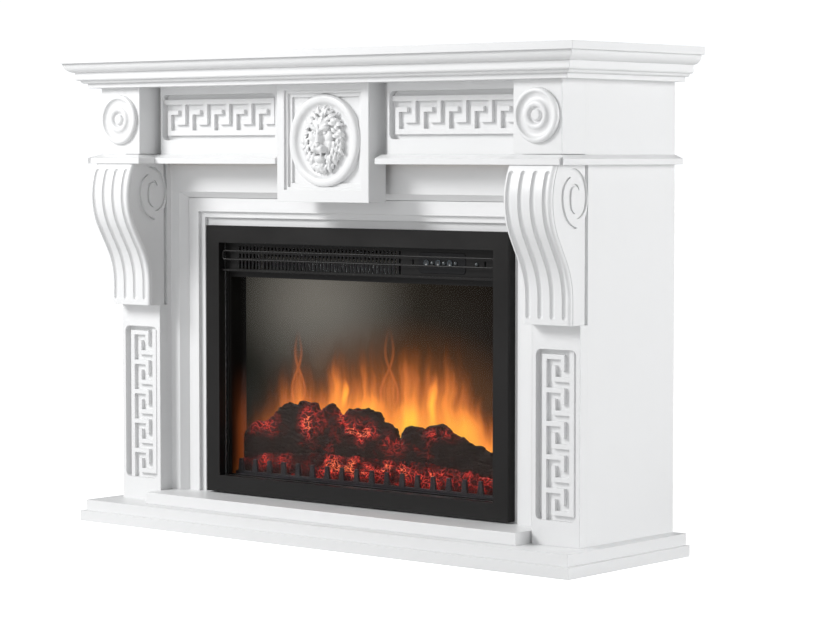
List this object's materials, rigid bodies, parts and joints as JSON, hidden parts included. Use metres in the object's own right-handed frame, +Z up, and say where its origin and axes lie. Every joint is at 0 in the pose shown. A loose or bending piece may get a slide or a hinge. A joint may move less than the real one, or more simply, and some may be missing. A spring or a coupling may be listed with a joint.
{
  "type": "electric fireplace",
  "caption": "White classical mantel with fluted corbels, key-pattern friezes and a carved centre mask around a black electric firebox with a log fire behind glass.",
  "frame": {"origin": "on the floor, in the middle of the overall width and depth", "axes": "+X to the right seen from the front, +Y towards the wall behind, +Z up"},
  "size_m": [1.41, 0.44, 1.026],
  "materials": {
    "white_paint": "satin white paint on fibreboard",
    "raw_board": "unpainted fibreboard",
    "zinc_steel": "zinc-plated sheet",
    "black_enamel": "satin black enamel",
    "black_plastic": "gloss black",
    "button_plastic": "gloss dark grey with a bright ring",
    "lens_plastic": "smoked translucent",
    "clear_glass": "clear toughened glass",
    "circuit_board": "green solder mask",
    "screen_plastic": "frosted projection screen",
    "ember_resin": "translucent ember bed, lit from below",
    "log_resin": "moulded bark",
    "cast_black": "matt black",
    "mirror_foil": "mirror foil",
    "motor_steel": "plain steel",
    "impeller_metal": "plain",
    "heater_ceramic": "matt"
  },
  "bodies": {
    "mantel": {"architrave_left": "white_paint", "architrave_right": "white_paint", "base_board": "white_paint", "blower_housing": "zinc_steel", "blower_motor": "motor_steel", "centre_block": "white_paint", "control_board": "circuit_board", "control_plate": "black_plastic", "corbel_left": "white_paint", "corbel_right": "white_paint", "cord_gland": "black_plastic", "corner_brackets": "zinc_steel", "cover_screws": "zinc_steel", "crown_moulding": "white_paint", "ember_bed": "ember_resin", "end_block_left": "white_paint", "end_block_right": "white_paint", "firebox_bearers": "raw_board", "firebox_casing": "zinc_steel", "firebox_frame": "black_enamel", "flame_screen": "screen_plastic", "flicker_drive": "motor_steel", "frieze_backboard": "white_paint", "frieze_frets": "white_paint", "frieze_panel_left": "white_paint", "frieze_panel_right": "white_paint", "glass_pane": "clear_glass", "grate_fence": "cast_black", "grille_plate": "black_enamel", "hearth_slab": "white_paint", "heater_element": "heater_ceramic", "heater_tray": "black_enamel", "indicator_lenses": "lens_plastic", "infill_panel": "white_paint", "led_board": "circuit_board", "leg_panel_left": "white_paint", "leg_panel_right": "white_paint", "lintel_board": "raw_board", "lion_mask": "white_paint", "log_set": "log_resin", "louvre_bars": "black_enamel", "mantel_shelf": "white_paint", "medallion": "white_paint", "pilaster_frets": "white_paint", "pilaster_left": "white_paint", "pilaster_right": "white_paint", "plinth_rails": "white_paint", "rear_cover": "zinc_steel", "rear_top_rail": "raw_board", "rosettes": "white_paint", "side_panel_left": "white_paint", "side_panel_right": "white_paint", "surround_inner": "white_paint", "surround_outer": "white_paint", "window_bezel": "black_enamel"},
    "power_button": {"button_power": "button_plastic"},
    "flame_button": {"button_flame": "button_plastic"},
    "heat_button": {"button_heat": "button_plastic"},
    "flicker": {"flicker_rod": "mirror_foil"},
    "impeller": {"blower_impeller": "impeller_metal"}
  },
  "joints": [
    {"name": "power_button_press", "type": "slide", "parent": "mantel", "child": "power_button", "axis": [0, 1, 0], "range_m": [0, 0.0012], "stiffness_N_per_m": 600, "springref_m": -0.0006},
    {"name": "flame_button_press", "type": "slide", "parent": "mantel", "child": "flame_button", "axis": [0, 1, 0], "range_m": [0, 0.0012], "stiffness_N_per_m": 600, "springref_m": -0.0006},
    {"name": "heat_button_press", "type": "slide", "parent": "mantel", "child": "heat_button", "axis": [0, 1, 0], "range_m": [0, 0.0012], "stiffness_N_per_m": 600, "springref_m": -0.0006},
    {"name": "flicker_rod_spin", "type": "hinge", "parent": "mantel", "child": "flicker", "pos_m": [0, 0.094, 0.1475], "axis": [1, 0, 0], "continuous": true},
    {"name": "blower_spin", "type": "hinge", "parent": "mantel", "child": "impeller", "pos_m": [-0.12, 0.0705, 0.6], "axis": [1, 0, 0], "continuous": true}
  ]
}
